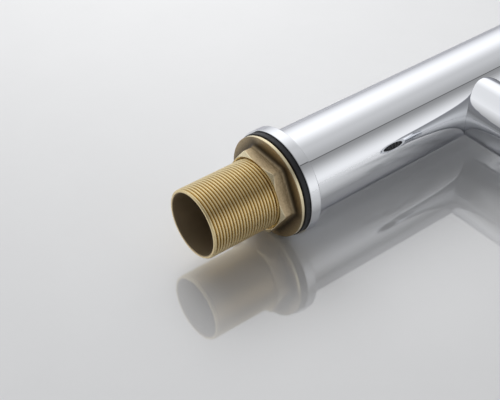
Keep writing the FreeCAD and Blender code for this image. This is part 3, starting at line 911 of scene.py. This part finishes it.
def chrome_material():
    """A mirror with faint smears in its gloss."""
    material, tree, shader = new_material("Mirror chrome", (0.90, 0.915, 0.94), 1.0, 0.04)
    shader.inputs["Specular Tint"].default_value = (*chrome_edge_tint, 1.0)
    marks = use_group(tree, grain, Scale=900.0, Patch_scale=45.0)
    tree.links.new(spread(tree, marks.outputs["Patches"], low=0.012, high=0.03), shader.inputs["Roughness"])
    return material


def shank_material():
    """Brass from the lathe: bright on the crests and the tip, darker on the flanks as painted shade in the
    grooves, dull in the bore.
    """
    material, tree, shader = new_material("Machined brass", (0.80, 0.62, 0.32), 0.95, 0.25)
    marks = use_group(tree, grain, Scale=2500.0, Patch_scale=220.0)
    lathe = use_group(tree, turning, Fineness=9000.0, Waver=0.6)
    outside = use_group(tree, beyond, Radius=shank_outside_r * mm, Softness=0.2 * mm)
    crests = use_group(tree, beyond, Radius=shank_crest_r * mm, Softness=0.3 * mm)
    at_tip = spread(
        tree, place_axes(tree)["Z"], low=1.0, high=0.0,
        start=shank_bright_tip_below * mm, end=shank_groove_shade_above * mm,
    )
    bright_mask = math_node(tree, "MAXIMUM", crests.outputs["Mask"], at_tip)
    bright = blend_colors(tree, marks.outputs["Patches"], (0.84, 0.675, 0.37), (0.90, 0.74, 0.43))
    # The flanks' darker colour is painted shade in the thread's grooves
    groove_shaded = blend_colors(tree, bright_mask, (0.50, 0.365, 0.16), bright)
    color = blend_colors(tree, outside.outputs["Mask"], (0.44, 0.35, 0.23), groove_shaded)
    tree.links.new(color, shader.inputs["Base Color"])
    rough = math_node(
        tree, "ADD",
        spread(tree, marks.outputs["Patches"], low=0.20, high=0.30),
        spread(tree, outside.outputs["Mask"], low=0.35, high=0.0, start=0.0, end=1.0),
    )
    tree.links.new(rough, shader.inputs["Roughness"])
    raise_bump(tree, shader, lathe.outputs["Height"], strength=0.25, distance=0.04)
    return material


def attribute_mask(tree, name):
    """An attribute of the piece, as a mask."""
    node = tree.nodes.new("ShaderNodeAttribute")
    node.attribute_name = name
    return node.outputs["Fac"]


def nut_material():
    """Cast brass, rough, with soil and painted shade round the hexagon's foot, painted shade in the mouth,
    and machined faces whose brightness is partly a painted highlight.
    """
    material, tree, shader = new_material("Forged brass", (0.50, 0.39, 0.23), 0.9, 0.5)
    marks = use_group(tree, grain, Scale=1500.0, Patch_scale=1100.0)
    bright_mask = attribute_mask(tree, "machined_with_highlight")
    soil_and_shade = attribute_mask(tree, "soil_and_shade")
    cast = blend_colors(tree, marks.outputs["Patches"], (0.38, 0.29, 0.175), (0.86, 0.68, 0.42))
    # Soil and painted shade darken the hexagon's foot, and painted shade alone darkens the mouth
    soiled_and_shaded = blend_colors(tree, soil_and_shade, cast, (0.06, 0.044, 0.026))
    # The machined faces are brighter than the shank's brass: partly bare machined metal and partly a
    # painted highlight
    color = blend_colors(tree, bright_mask, soiled_and_shaded, (0.96, 0.84, 0.57))
    tree.links.new(color, shader.inputs["Base Color"])
    rough = spread(tree, bright_mask, low=0.36, high=0.24, start=0.0, end=1.0)
    tree.links.new(rough, shader.inputs["Roughness"])
    uncut = math_node(tree, "SUBTRACT", 1.0, bright_mask)
    height = math_node(tree, "MULTIPLY", marks.outputs["Height"], uncut)
    raise_bump(tree, shader, height, strength=0.9, distance=0.2)
    return material


def grained_material(name, dark, light, metallic, rough, scale, bump):
    """A plain finish with fine grain in its colour, its range of roughness and its surface."""
    material, tree, shader = new_material(name, dark, metallic, rough[0])
    marks = use_group(tree, grain, Scale=scale, Patch_scale=scale / 6.0)
    patches = marks.outputs["Patches"]
    tree.links.new(blend_colors(tree, patches, dark, light), shader.inputs["Base Color"])
    tree.links.new(spread(tree, patches, low=rough[0], high=rough[1]), shader.inputs["Roughness"])
    raise_bump(tree, shader, marks.outputs["Height"], strength=bump, distance=0.05)
    return material


def index_material():
    """Red on the hot side and blue on the cold side."""
    material, tree, shader = new_material("Index plug", (0.6, 0.05, 0.06), 0.0, 0.25)
    side = math_node(tree, "GREATER_THAN", place_axes(tree)["X"], 0.0)
    color = blend_colors(tree, side, (0.62, 0.03, 0.035), (0.03, 0.12, 0.55))
    tree.links.new(color, shader.inputs["Base Color"])
    marks = use_group(tree, grain, Scale=4000.0, Patch_scale=800.0)
    tree.links.new(spread(tree, marks.outputs["Patches"], low=0.2, high=0.32), shader.inputs["Roughness"])
    return material


chrome = chrome_material()
machined_brass = shank_material()
forged_brass = nut_material()
black_rubber = grained_material(
    "Black rubber", dark=(0.010, 0.010, 0.012), light=(0.022, 0.022, 0.025),
    metallic=0.0, rough=(0.38, 0.55), scale=2200.0, bump=0.25,
)
block_brass = grained_material(
    "Block brass", dark=(0.66, 0.50, 0.26), light=(0.78, 0.62, 0.34),
    metallic=1.0, rough=(0.24, 0.38), scale=1800.0, bump=0.15,
)
dark_plastic = grained_material(
    "Dark plastic", dark=(0.03, 0.03, 0.035), light=(0.06, 0.06, 0.065),
    metallic=0.0, rough=(0.4, 0.55), scale=2500.0, bump=0.2,
)
pale_plastic = grained_material(
    "Pale plastic", dark=(0.66, 0.66, 0.63), light=(0.78, 0.78, 0.75),
    metallic=0.0, rough=(0.4, 0.55), scale=2500.0, bump=0.2,
)
ceramic = grained_material(
    "Ceramic", dark=(0.86, 0.85, 0.81), light=(0.93, 0.92, 0.89),
    metallic=0.0, rough=(0.12, 0.2), scale=3000.0, bump=0.05,
)
steel = grained_material(
    "Turned steel", dark=(0.52, 0.52, 0.52), light=(0.66, 0.66, 0.66),
    metallic=1.0, rough=(0.25, 0.38), scale=2600.0, bump=0.12,
)
index_plastic = index_material()

inner_finishes = {
    "valve_block": block_brass,
    "spout_nipple": block_brass,
    "cartridge_nut": block_brass,
    "nipple_gasket": black_rubber,
    "spout_seal": black_rubber,
    "aerator_seal": black_rubber,
    "port_seals": black_rubber,
    "cartridge_base": pale_plastic,
    "disc_driver": pale_plastic,
    "cartridge_housing": pale_plastic,
    "rotor": pale_plastic,
    "fixed_disc": ceramic,
    "moving_disc": ceramic,
    "spindle_pin": steel,
    "spindle": steel,
    "grub_screw": steel,
}


# Table, studio and camera

lamp_stand = Vector((-375.0, 350.0, 100.0))
lamp_aim = Vector((0.0, 0.0, 30.0))
lamp_size = 300.0
lamp_watts = 1.25
table_roughness = 0.045
table_ior = 2.5


def table_material():
    """White gloss: a diffuse ground with a clear mirror layer, seen only from above."""
    material = bpy.data.materials.new("Gloss table")
    material.use_nodes = True
    tree = material.node_tree
    tree.nodes.clear()
    out = tree.nodes.new("ShaderNodeOutputMaterial")
    ground = tree.nodes.new("ShaderNodeBsdfDiffuse")
    marks = use_group(tree, grain, Scale=400.0, Patch_scale=30.0)
    white = blend_colors(tree, marks.outputs["Patches"], (0.793, 0.796, 0.799), (0.833, 0.836, 0.839))
    tree.links.new(white, ground.inputs["Color"])
    gloss = tree.nodes.new("ShaderNodeBsdfGlossy")
    gloss.inputs["Color"].default_value = (1.0, 1.0, 1.0, 1.0)
    gloss.inputs["Roughness"].default_value = table_roughness
    share = tree.nodes.new("ShaderNodeFresnel")
    share.inputs["IOR"].default_value = table_ior
    layered = tree.nodes.new("ShaderNodeMixShader")
    tree.links.new(share.outputs[0], layered.inputs["Fac"])
    tree.links.new(ground.outputs[0], layered.inputs[1])
    tree.links.new(gloss.outputs[0], layered.inputs[2])
    clear = tree.nodes.new("ShaderNodeBsdfTransparent")
    face = tree.nodes.new("ShaderNodeNewGeometry")
    one_sided = tree.nodes.new("ShaderNodeMixShader")
    tree.links.new(face.outputs["Backfacing"], one_sided.inputs["Fac"])
    tree.links.new(layered.outputs[0], one_sided.inputs[1])
    tree.links.new(clear.outputs[0], one_sided.inputs[2])
    tree.links.new(one_sided.outputs[0], out.inputs["Surface"])
    return material


def make_table():
    """A round table top that touches the base ring's +X side."""
    bm = bmesh.new()
    bmesh.ops.create_circle(
        bm, cap_ends=True, cap_tris=False, radius=table_r * mm, segments=table_steps,
    )
    turn = table_up.to_track_quat("Z", "Y").to_matrix().to_4x4()
    place = Matrix.Translation(Vector((table_x, 0.0, 0.0)) * mm) @ turn
    bmesh.ops.transform(bm, matrix=place, verts=bm.verts)
    table = as_object(bm, "table")
    table.data.materials.append(table_material())


# The studio round the tap's axis, as angle from +X towards +Y in degrees and brightness: a pale wall, a
# big soft box, a lower fill panel, and a narrow dark gap beside it. Levels ease from one to the next.
wall = 0.60
studio = (
    (-180.0, wall), (-146.0, 0.42),
    (-145.3, 0.02), (-144.1, 0.02),
    (-143.5, 0.29), (-97.0, 0.92), (-70.0, wall),
    (60.0, wall), (125.0, 1.20), (135.0, 1.20), (180.0, wall),
)
studio_tint = (0.99, 0.996, 1.014)
below_level = 0.22
deep_level = 0.28
above_level = 0.40
backdrop = (0.80, 0.81, 0.83)


def make_world():
    """The studio's light, by the direction that a ray leaves in, and the plain backdrop that shows.

    Towards -Z, past the tap's foot, the room is darker: from a slanting edge on for the light that falls
    on the tap, and only deep down for what its metal mirrors. Straight past the tap's head it is one
    plain level, and away from the head's side all is a little dimmer.
    """
    world = bpy.data.worlds.new("Studio")
    bpy.context.scene.world = world
    world.use_nodes = True
    tree = world.node_tree
    tree.nodes.clear()
    out = tree.nodes.new("ShaderNodeOutputWorld")
    way = place_axes(tree, "Generated")
    around = math_node(tree, "ARCTAN2", way["Y"], way["X"])
    share = spread(tree, around, low=0.0, high=1.0, start=-math.pi, end=math.pi)
    ramp = tree.nodes.new("ShaderNodeValToRGB")
    tree.links.new(share, ramp.inputs["Fac"])
    ramp.color_ramp.interpolation = "EASE"
    marks = ramp.color_ramp.elements
    while len(marks) < len(studio):
        marks.new(0.5)
    for mark, (angle, _) in zip(marks, studio):
        mark.position = (angle + 180.0) / 360.0
    for mark, (_, level) in zip(marks, studio):
        mark.color = (*(level * c for c in studio_tint), 1.0)
    edge = spread(tree, way["Y"], low=0.30, high=-0.05, start=-0.4, end=0.2)
    under = math_node(tree, "SUBTRACT", edge, way["Z"])
    below = spread(tree, under, low=0.0, high=1.0, start=0.0, end=0.5)
    deep = spread(tree, way["Z"], low=1.0, high=0.0, start=-0.95, end=-0.55)
    above = spread(tree, way["Z"], low=0.0, high=1.0, start=0.8, end=0.98)
    strength = spread(tree, way["Z"], low=0.78, high=1.0, start=0.25, end=0.55)
    ray = tree.nodes.new("ShaderNodeLightPath")
    lighting = blend_colors(tree, below, ramp.outputs["Color"], (below_level,) * 3)
    mirrored = blend_colors(tree, deep, ramp.outputs["Color"], (deep_level,) * 3)
    color = blend_colors(tree, ray.outputs["Is Glossy Ray"], lighting, mirrored)
    color = blend_colors(tree, above, color, (above_level,) * 3)
    lit = tree.nodes.new("ShaderNodeBackground")
    tree.links.new(color, lit.inputs["Color"])
    tree.links.new(strength, lit.inputs["Strength"])
    seen = tree.nodes.new("ShaderNodeBackground")
    seen.inputs["Color"].default_value = (*backdrop, 1.0)
    choose = tree.nodes.new("ShaderNodeMixShader")
    tree.links.new(ray.outputs["Is Camera Ray"], choose.inputs["Fac"])
    tree.links.new(lit.outputs[0], choose.inputs[1])
    tree.links.new(seen.outputs[0], choose.inputs[2])
    tree.links.new(choose.outputs[0], out.inputs["Surface"])


def make_lamp():
    """A wide soft lamp behind the tap, which brightens the table and shades its near side."""
    data = bpy.data.lights.new("lamp", "AREA")
    data.shape = "DISK"
    data.size = lamp_size * mm
    data.energy = lamp_watts
    lamp = bpy.data.objects.new("lamp", data)
    lamp.visible_glossy = False
    lamp.visible_camera = False
    bpy.context.scene.collection.objects.link(lamp)
    ahead = (lamp_aim - lamp_stand).normalized()
    turn = ahead.to_track_quat("-Z", "Y").to_matrix().to_4x4()
    lamp.matrix_world = Matrix.Translation(lamp_stand * mm) @ turn


def make_camera():
    """The photograph's camera, with the table's upward way at the top of the picture."""
    data = bpy.data.cameras.new("camera")
    data.sensor_width = sensor_w
    data.lens = lens
    data.clip_start = 0.01
    camera = bpy.data.objects.new("camera", data)
    bpy.context.scene.collection.objects.link(camera)
    ahead = (camera_aim - camera_stand).normalized()
    right = ahead.cross(table_up).normalized()
    turn = Matrix((right, right.cross(ahead), -ahead)).transposed().to_4x4()
    camera.matrix_world = Matrix.Translation(camera_stand * mm) @ turn
    bpy.context.scene.camera = camera


threaded_shank(machined_brass)
lock_nut(forged_brass)
rubber_washer(black_rubber)
base_ring(chrome)
body_shell(chrome)
spout_tube(chrome)
aerator_housing(chrome)
smooth_copy("aerator_insert", "aerator_grid", dark_plastic)
dome_cap(chrome)
handle_cap(chrome)
lever_rod(chrome)
smooth_copy("index_plug", "index_dot", index_plastic, "lever")
for node, material in inner_finishes.items():
    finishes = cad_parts[node].data.materials
    finishes.clear()
    finishes.append(material)

make_table()
make_world()
make_lamp()
make_camera()
bpy.context.scene.view_settings.view_transform = "Standard"
